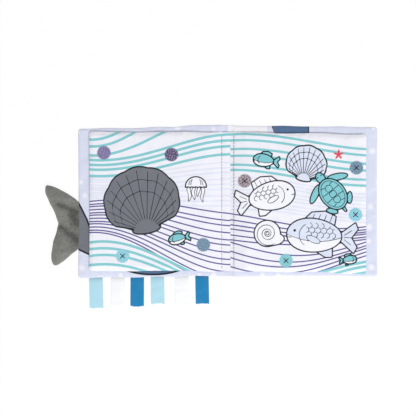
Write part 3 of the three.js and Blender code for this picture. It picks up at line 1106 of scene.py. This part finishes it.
spineUser = {
    "under": 1.6,  # how far it goes on under the covers' inner edges
    "columns": 22,
    "rise": 0.5,
    "flat": 0.45,  # shares of the half width: flat on the table, then the climb to the fold
    "climb": 0.6,
    "above": 0.35,
    "wave": 0.12,
    "waveLength": 22,
    "longer": 1.0,
    "flare": 2.0,
    "bend": (-2.2, 1.4),  # from the fold
}


def addSpine(user):
    fold, seam = spineHigh[0], spineLow[2]
    across = np.linspace(0, coverPlace["start"] + user["under"], user["columns"])
    length = spineHigh[1] - spineLow[1] + user["longer"]

    def outside(x, y):
        # Rests on the table along the middle and rises to the covers' rims at the folds.
        climb = quarterWave(np.clip(np.abs(x) - fold * user["flat"], 0, None), fold * user["climb"])
        return (seam - user["rise"]) * climb**2

    def inside(x, y):
        return seam + user["above"] + user["wave"] * lineNoise(y, user["waveLength"], 3)

    for side, half, _ in halves:
        name, xs, materials = f"spine_cloth_{half}_half", side * across, [liningCloth, outerCloth]
        piece = addStrip(name, xs, length, inside, outside, materials, spinePrint, user["flare"])
        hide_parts("spine_outer_cloth", "spine_lining")
        start, end = (foldPoint(side, fold + past, seam) for past in user["bend"])
        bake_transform(piece)
        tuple(start)
        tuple(end)


gutterUser = {
    "foldAt": 2.8,  # off the middle, where the real gutter is folded
    "columns": 18,
    "overlap": 0.35,
    "lift": 0.25,
    "above": 0.35,
    "thickness": 0.5,
    "crest": 0.2,
    "slope": 0.06,
    "wave": 0.08,
    "waveLength": 17,
    "shorter": 0.6,
    "bendFrom": 1.8,
}


def addGutter(user):
    foldX, last = user["foldAt"], leafPlace["start"] + user["overlap"]
    base = spineHigh[2] + user["lift"]
    length = leafPlace["high"] - leafPlace["low"] - user["shorter"]
    for side, half, hand in halves:

        def topAt(x, y):
            # A low crest between the fold and the stitches, on a slope up from the fold.
            away = np.abs(x - foldX)
            share = np.clip(away / abs(side * last - foldX), 0, 1)
            height = base + user["above"] + user["crest"] * np.sin(share * np.pi) ** 2
            return height + user["slope"] * away + user["wave"] * lineNoise(y, user["waveLength"], 6)

        def lowAt(x, y):
            return topAt(x, y) - user["thickness"]

        xs = np.linspace(foldX, side * last, user["columns"])
        page = leftPagePrint if side < 0 else rightPagePrint
        piece = addStrip(f"{hand}_gutter_cloth", xs, length, topAt, lowAt, [pageCloth], page)
        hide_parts("gutter_cloth")
        start = foldPoint(side, spineHigh[0] - user["bendFrom"], base)
        foldPoint(side, last, base)
        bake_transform(piece)


addSpine(spineUser)
addGutter(gutterUser)
print("spine and gutter made")


# Binding stitches, and finishes that mix two tones by one pattern


def twoToneMaterial(name, user, patternAt):
    material, tree = newMaterial(name)
    pattern = patternAt(tree, objectPlace(tree))
    dark, light = (linear(user[tone]) for tone in ("dark", "light"))
    dressShader(tree, mixColour(tree, pattern, dark, light), pattern, user)
    return material


stitchUser = {
    "length": 3.0,
    "gap": 0.4,
    "radius": 0.32,
    "fromEnds": 3,
    "arch": 0.35,
    "sunk": 0.15,
    "seat": 0.5,
    "rings": 7,
    "around": 8,
    "twist": 900,
    "dark": (124, 114, 110),
    "light": (176, 165, 159),
    "relief": 1.0,
    "depth": 0.06,
    "shader": {"Roughness": 0.55},
}


def twistAt(tree, place):
    inputs = {"Vector": place, "Scale": stitchUser["twist"]}
    return addNode(tree, "TexWave", inputs, bands_direction="DIAGONAL").outputs["Fac"]


def addStitches(name, side, cover, material, user):
    # Each stitch is a bent tube: a circle carried along an arch that dips into the cloth, the
    # arch and the circle's radius both small powers of half a sine wave.
    pitch = user["length"] + user["gap"]
    first, last = leafPlace["low"] + user["fromEnds"], leafPlace["high"] - user["fromEnds"]
    along = np.linspace(0, 1, user["rings"])
    turn = np.linspace(0, 2 * np.pi, user["around"], endpoint=False)
    s, a, t = np.meshgrid(np.arange(first, last - pitch, pitch), along, turn, indexing="ij")
    ring = user["radius"] * np.sin(np.clip(a, 0.02, 0.98) * np.pi) ** 0.25
    x = side * (leafPlace["start"] + leafUser["stitchAt"]) + ring * np.cos(t)
    arch = user["arch"] * np.sqrt(np.sin(a * np.pi)) - user["sunk"]
    z = leafPlace["foldSeam"] + user["seat"] + arch + ring * np.sin(t)
    index = np.arange(x.size).reshape(x.shape)
    wrapped = np.concatenate([index, index[:, :, :1]], axis=2)
    near, far = wrapped[:, :-1], wrapped[:, 1:]
    corners = (near[..., :-1], far[..., :-1], far[..., 1:], near[..., 1:])
    quads = np.stack([c.ravel() for c in corners], axis=1)
    caps = [*index[:, 0], *index[:, -1, ::-1]]
    points = pointsOf(x, s + user["length"] * a, z)
    piece = addMesh(f"{name}_thread", points, quads.tolist() + [cap.tolist() for cap in caps], [material])
    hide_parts(name)
    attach(piece, cover)


thread = twoToneMaterial("sewingThread", stitchUser, twistAt)
addStitches("left_binding_stitch", -1, "front_cover", thread, stitchUser)
addStitches("right_binding_stitch", 1, "back_cover", thread, stitchUser)
print("binding stitches made")


# What the book holds inside keeps its CAD shape and gets a finish

fillingUser = {
    "wadding": {
        "name": "wadding",
        "scale": 700,
        "dark": (211.56, 209.84, 204.68),
        "light": (246, 244, 238),
        "relief": 1.0,
        "depth": 0.4,
        "shader": {"Roughness": 1.0},
    },
    "crinkle_film": {
        "name": "crinkleFilm",
        "scale": 160,
        "dark": (192.64, 198.66, 202.96),
        "light": (224, 231, 236),
        "relief": 1.0,
        "depth": 0.4,
        "shader": {"Roughness": 0.25, "Coat Weight": 0.3},
    },
}


def fillingMaterial(user):
    return twoToneMaterial(user["name"], user, lambda tree, place: noiseAt(tree, place, user["scale"], 6))


fillings = {suffix: fillingMaterial(user) for suffix, user in fillingUser.items()}
for panel in ("front_cover", "back_cover", "left_leaf", "right_leaf"):
    for suffix, material in fillings.items():
        node = bpy.data.objects[f"{panel}_{suffix}"]
        node.data.materials.clear()
        node.data.materials.append(material)
print("filling dressed")


# Tail: a stuffed plush fluke

tailUser = {
    "plushGrid": (190, 150),  # slices, and points round each
    "fillingGrid": (60, 48),
    "fillingInset": 1.3,
    "rise": 8.6,
    "rim": 0.5,
    "belly": 0.4,
    "pile": 0.16,
    "pileSizes": ((5, 81), (1.7, 82)),
    "sway": (0.4, 24),  # height and size of its slow unevenness
    "creaseDepth": 2.3,
    "creaseWidth": 3.2,
    "creases": [(-180, -3, -161, -11), (-178, -27, -160, -41), (-167, -14, -160, -24)],
    "shadePatches": [(-163, -20, 7), (-163, -43, 6)],  # painted shade beside the seam, in colour only: place and width
    "seamReach": 1.5,  # how far its sewn edge goes into the cover's seam
    "seamBlend": 6,
    "sewnShare": 0.12,
    "tip": 0.1,
}

# The fluke's outline from its upper tip to its lower tip: share of its length, then shares of
# its reach out from the seam at the outer and at the inner edge, then how plump it is there.
flukeShares = np.array(
    [
        (0.0, 0.93, 0.93, 0.0),
        (0.008, 0.975, 0.83, 0.28),
        (0.025, 0.993, 0.7, 0.45),
        (0.065, 1.0, 0.5, 0.7),
        (0.107, 0.985, 0.31, 0.83),
        (0.15, 0.94, 0.15, 0.93),
        (0.194, 0.89, 0.045, 0.98),
        (0.22, 0.865, 0.0, 1.0),
        (0.34, 0.71, 0.0, 0.82),
        (0.43, 0.634, 0.0, 0.66),
        (0.463, 0.604, 0.0, 0.63),
        (0.475, 0.597, 0.0, 0.62),
        (0.487, 0.602, 0.0, 0.63),
        (0.53, 0.626, 0.0, 0.68),
        (0.59, 0.66, 0.0, 0.76),
        (0.71, 0.755, 0.0, 0.95),
        (0.785, 0.783, 0.0, 1.0),
        (0.8, 0.79, 0.03, 0.99),
        (0.87, 0.812, 0.215, 0.88),
        (0.91, 0.81, 0.325, 0.76),
        (0.945, 0.797, 0.43, 0.6),
        (0.975, 0.768, 0.54, 0.42),
        (0.993, 0.735, 0.61, 0.25),
        (1.0, 0.675, 0.675, 0.0),
    ]
)

plushUser = {
    "fibreTurn": 0.5,
    "fibreStretch": 0.45,
    "fibre": (1900, 5),  # scale and detail
    "clump": (480, 3),
    "paintedShade": 0.3,
    "tones": ((0.12, (72, 73, 70)), (0.72, (137, 138, 133))),
    "relief": 0.9,
    "depth": 0.25,
    "shader": {"Roughness": 0.95, "Sheen Weight": 0.35, "Sheen Roughness": 0.6, "Specular IOR Level": 0.1},
}


def easeBetween(where, table, column):
    # A smooth curve through a table's points: cubic pieces with slopes that don't overshoot.
    xs, ys = table[:, 0], table[:, column]
    steps = np.diff(xs)
    slopes = np.diff(ys) / steps
    before, after = slopes[:-1], slopes[1:]
    total = np.where(np.abs(before + after) > tiny, before + after, 1)
    inner = np.where(before * after > 0, 2 * before * after, 0) / total
    tangents = np.concatenate([slopes[:1], inner, slopes[-1:]])
    k = np.clip(np.searchsorted(xs, where, side="right") - 1, 0, len(xs) - 2)
    t = (where - xs[k]) / steps[k]
    a = ys[k] * (1 + 2 * t) * (1 - t) ** 2 + ys[k + 1] * t * t * (3 - 2 * t)
    return a + steps[k] * (tangents[k] * t * (1 - t) ** 2 - tangents[k + 1] * t * t * (1 - t))


def plushMaterial(user):
    # Short pile: a streaky fibre height, clumps, and painted shade that darkens the creases and patches
    # beside the seam.
    material, tree = newMaterial("greyPlush")
    place = objectPlace(tree)
    scale, rotation = (user["fibreStretch"], 1, 1), (0, 0, user["fibreTurn"])
    streaks = addNode(tree, "Mapping", {"Vector": place, "Scale": scale, "Rotation": rotation})
    fibre = noiseAt(tree, streaks.outputs[0], *user["fibre"])
    both = mathNode(tree, "ADD", fibre, noiseAt(tree, place, *user["clump"]))
    # Painted shade: the creases and two patches beside the seam are made darker in colour.
    paintedShade = mathNode(tree, "MULTIPLY", fieldOf(tree, "paintedShade")["Fac"], user["paintedShade"])
    share = mathNode(tree, "SUBTRACT", mathNode(tree, "MULTIPLY", both, 0.5), paintedShade)
    ramp = addNode(tree, "ValToRGB", {0: share})
    for element, (position, tone) in zip(ramp.color_ramp.elements, user["tones"]):
        element.position, element.color = position, linear(tone)
    dressShader(tree, ramp.outputs[0], both, user)
    return material


def tailPoints(user, inset, rows, around):
    # Slices across the fluke from tip to tip. Each is a flattened oval between the outer and
    # the inner edge, drawn flat towards the sewn edge, with creases pressed in along lines.
    low, high = boxOf("tail_top_plush")
    under, _ = boxOf("tail_bottom_plush")
    seam = low[2]
    span, reach = high[1] - low[1], high[0] - low[0]
    places = (1 - np.cos(np.linspace(0, np.pi, rows)[1:-1])) / 2
    turn = np.linspace(0, 2 * np.pi, around, endpoint=False)
    v, t = np.meshgrid(places, turn, indexing="ij")
    outer, inner, plump = (easeBetween(places, flukeShares, k)[:, None] for k in (1, 2, 3))
    wide = np.maximum(outer - inner - 2 * inset / reach, 0.01)
    across = (1 + np.cos(t)) / 2
    x = high[0] - reach * ((outer + inner) / 2 + wide * (0.5 - across))
    if not inset:
        x = x + user["seamReach"] * np.clip(1 - (high[0] - x) / user["seamBlend"], 0, 1)
    y = high[1] - inset - (span - 2 * inset) * v

    sewn = np.clip(1 - inner / user["sewnShare"], 0, 1)
    oval = np.abs(np.sin(t)) ** 0.85 * plump * (1 - sewn * (0.12 + 0.78 * across**3))
    edge = user["rim"] * np.abs(np.sin(t)) ** 0.4
    press = 0
    for crease in user["creases"]:
        press = press + np.exp(-((segment(x, y, *crease) / user["creaseWidth"]) ** 2))
    rough = sum(0.5 * softNoise(x, y, size, seed) for size, seed in user["pileSizes"])
    sway, swaySize = user["sway"]
    lift = user["pile"] * rough + sway * softNoise(x, y, swaySize, 83)
    lift = lift - user["creaseDepth"] * np.minimum(press, 1)
    above = seam + edge + (user["rise"] - inset) * oval + (lift - 1.6 * inset) * np.sqrt(oval)
    below = seam - edge - (seam - under[2] + user["belly"]) * np.minimum(1, 1.6 * oval)
    z = np.where(np.sin(t) >= 0, np.maximum(above, seam), below + 0.6 * inset)
    # Painted shade: patches beside the seam are darkened in colour, with no dip in the shape.
    for hx, hy, size in user["shadePatches"]:
        press = press + 0.7 * np.exp(-(((x - hx) / size) ** 2) - ((y - hy) / (1.6 * size)) ** 2)
    paintedShade = np.clip(press, 0, 1.2) * np.clip(4 * np.sin(t), 0, 1)
    return np.stack([x, y, np.maximum(z, 0.45 * inset)], axis=-1), paintedShade


def addFluke(name, inset, grid, material):
    # The slices' rings make a skin that a fan of triangles closes at each tip.
    ring, paintedShade = tailPoints(tailUser, inset, *grid)
    out = np.array([[0, tailUser["tip"], 0]])
    points = np.concatenate([ring.reshape(-1, 3), ring[0].mean(axis=0) + out, ring[-1].mean(axis=0) - out])
    index = np.arange(paintedShade.size).reshape(paintedShade.shape)
    wrapped = np.concatenate([index, index[:, :1]], axis=1)
    faces = gridFaces(wrapped).tolist()
    for tip, edge in ((index.size, wrapped[0, ::-1].tolist()), (index.size + 1, wrapped[-1].tolist())):
        faces += [(tip, here, there) for here, there in zip(edge, edge[1:])]
    piece = addMesh(name, points, faces, [material])
    # Painted shade, read by the plush's colour.
    addField(piece, "paintedShade", np.concatenate([paintedShade.ravel(), [0.0, 0.0]]))
    return piece


plush = addFluke("tail_plush", 0.0, tailUser["plushGrid"], plushMaterial(plushUser))
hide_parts("tail_top_plush", "tail_bottom_plush")
tailFilling = addFluke("tail_filling", tailUser["fillingInset"], tailUser["fillingGrid"], fillings["wadding"])
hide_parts("tail_stuffing")
for piece in (plush, tailFilling):
    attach(piece, "tail")
print("tail made")


# Ribbon tags: satin ribbon folded end to end

ribbonUser = {
    "seamReach": 1.2,
    "seamLevel": 1.6,
    "seamBlend": 3.0,
    "thickness": 0.3,
    "apart": 0.15,
    "offTable": 0.05,
    "eye": 0.55,  # half the height of the open loop at the fold
    "bow": 0.4,
    "ripple": (0.13, 14),  # height and size
    "worn": (0.25, 9),
    "steps": (34, 11),  # along the straight and round the bend
    "ribWidth": 2.3,
    "pickWidth": 0.6,
    "pickShare": 0.35,
    "ribShade": 0.22,
    "ribTone": 0.97,
    # painted shade at the seam: its tone and reach
    "rootShadeTone": 0.6,
    "rootShadeReach": 2.4,
    "relief": 0.3,
    "depth": 0.06,
    "shader": {"Roughness": 0.45, "Sheen Weight": 0.04, "Specular IOR Level": 0.3, "Anisotropic": 0.3},
    "edge": (0.5, 0.49, 0.47),  # shares of the width, crowded so that the woven edges stay crisp
}
ribbonColours = {"light_blue": (175, 217, 233), "white": (243, 245, 249), "dark_blue": (10, 124, 178)}


def ribbonMaterial(name, colour, user):
    # Satin with fine ribs along the ribbon and crosswise picks, and painted shade near the seam, where the
    # cover's edge shades it.
    material, tree = newMaterial(f"{name}Satin")
    split = addNode(tree, "SeparateXYZ", {0: objectPlace(tree)}).outputs
    waves = []
    for axis, size in (("X", user["ribWidth"]), ("Y", user["pickWidth"])):
        angle = mathNode(tree, "MULTIPLY", split[axis], 2 * np.pi / (size * mm))
        waves.append(mathNode(tree, "SINE", angle))
    ribs, picks = waves
    both = mathNode(tree, "MULTIPLY_ADD", picks, user["pickShare"], ribs)
    share = mathNode(tree, "MULTIPLY_ADD", both, user["ribShade"], 0.5)
    rib, plain, root = (linear(np.array(colour) * tone) for tone in (user["ribTone"], 1, user["rootShadeTone"]))
    ribbed = mixColour(tree, share, rib, plain)
    # Painted shade: the 'root' field darkens the satin where it comes out of the cover's seam.
    seamShade = mathNode(tree, "MULTIPLY", fieldOf(tree, "root")["Fac"], 0.5)
    dressShader(tree, mixColour(tree, seamShade, ribbed, root), both, user)
    return material


def addRibbon(number, colourName, material, user):
    # A strip carried along a flat loop: out along the table, round the fold and back on top.
    name = f"ribbon_tag_{number}"
    low, high = boxOf(name)
    length, width = high[1] - low[1], high[0] - low[0]
    half, eye = user["thickness"] / 2, user["eye"]
    flat = length - eye - half
    straightSteps, bendSteps = user["steps"]
    straight = np.linspace(0, flat, straightSteps)
    bend = np.linspace(0, np.pi, bendSteps)[1:-1]
    turn = np.concatenate([0 * straight, bend, 0 * straight + np.pi])
    out = np.concatenate([straight, flat + eye * np.sin(bend), straight[::-1]])
    upper = turn > np.pi / 2
    held = np.exp(-out / user["seamBlend"])
    apart = half + user["apart"]
    root = user["seamLevel"] + np.where(upper, apart, -apart)
    z = (half + user["offTable"] + eye * (1 - np.cos(turn))) * (1 - held) + root * held
    edge = np.array(user["edge"])
    shares = np.concatenate([-edge, np.linspace(-0.43, 0.43, 9), edge[::-1]])
    w, row = np.meshgrid(shares, np.arange(len(out)))
    outs, top = out[row], upper[row].astype(float)
    draw = np.random.default_rng(100 + number)
    lean, curl = draw.uniform(-0.02, 0.02), draw.uniform(0.5, 1.0)
    along = np.clip(outs / length, 0, 1)
    bowed = user["bow"] * curl * top * (1 - (2 * w) ** 2) * np.sin(np.pi * along)
    (ripple, rippleSize), (worn, wornSize) = user["ripple"], user["worn"]
    ripples = ripple * softNoise(outs, w * 6, rippleSize, 200 + number) * top * (1 - held[row])
    frayed = worn * lineNoise(w * width, wornSize, 300 + number) * along**4
    x = (low[0] + high[0]) / 2 + w * width + lean * outs
    y = high[1] + user["seamReach"] * (1 - along) - outs + frayed
    points = pointsOf(x, y, z[row] + bowed + np.abs(ripples))
    piece = addMesh(f"{name}_satin", points, gridFaces(np.arange(x.size).reshape(x.shape)), [material])
    # Painted shade near the seam: full where the ribbon leaves the seam, fading along it.
    pastSeam = np.clip(outs.ravel() - user["seamReach"], 0, None)
    addField(piece, "root", np.exp(-pastSeam / user["rootShadeReach"]))
    wall = piece.modifiers.new("wall", "SOLIDIFY")
    wall.thickness = user["thickness"] * mm
    wall.offset = 0
    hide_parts(name)
    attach(piece, f"ribbon_{number}")


satins = {name: ribbonMaterial(name, colour, ribbonUser) for name, colour in ribbonColours.items()}
for number, colourName in enumerate([*ribbonColours] * 2, 1):
    addRibbon(number, colourName, satins[colourName], ribbonUser)
print("ribbon tags made")
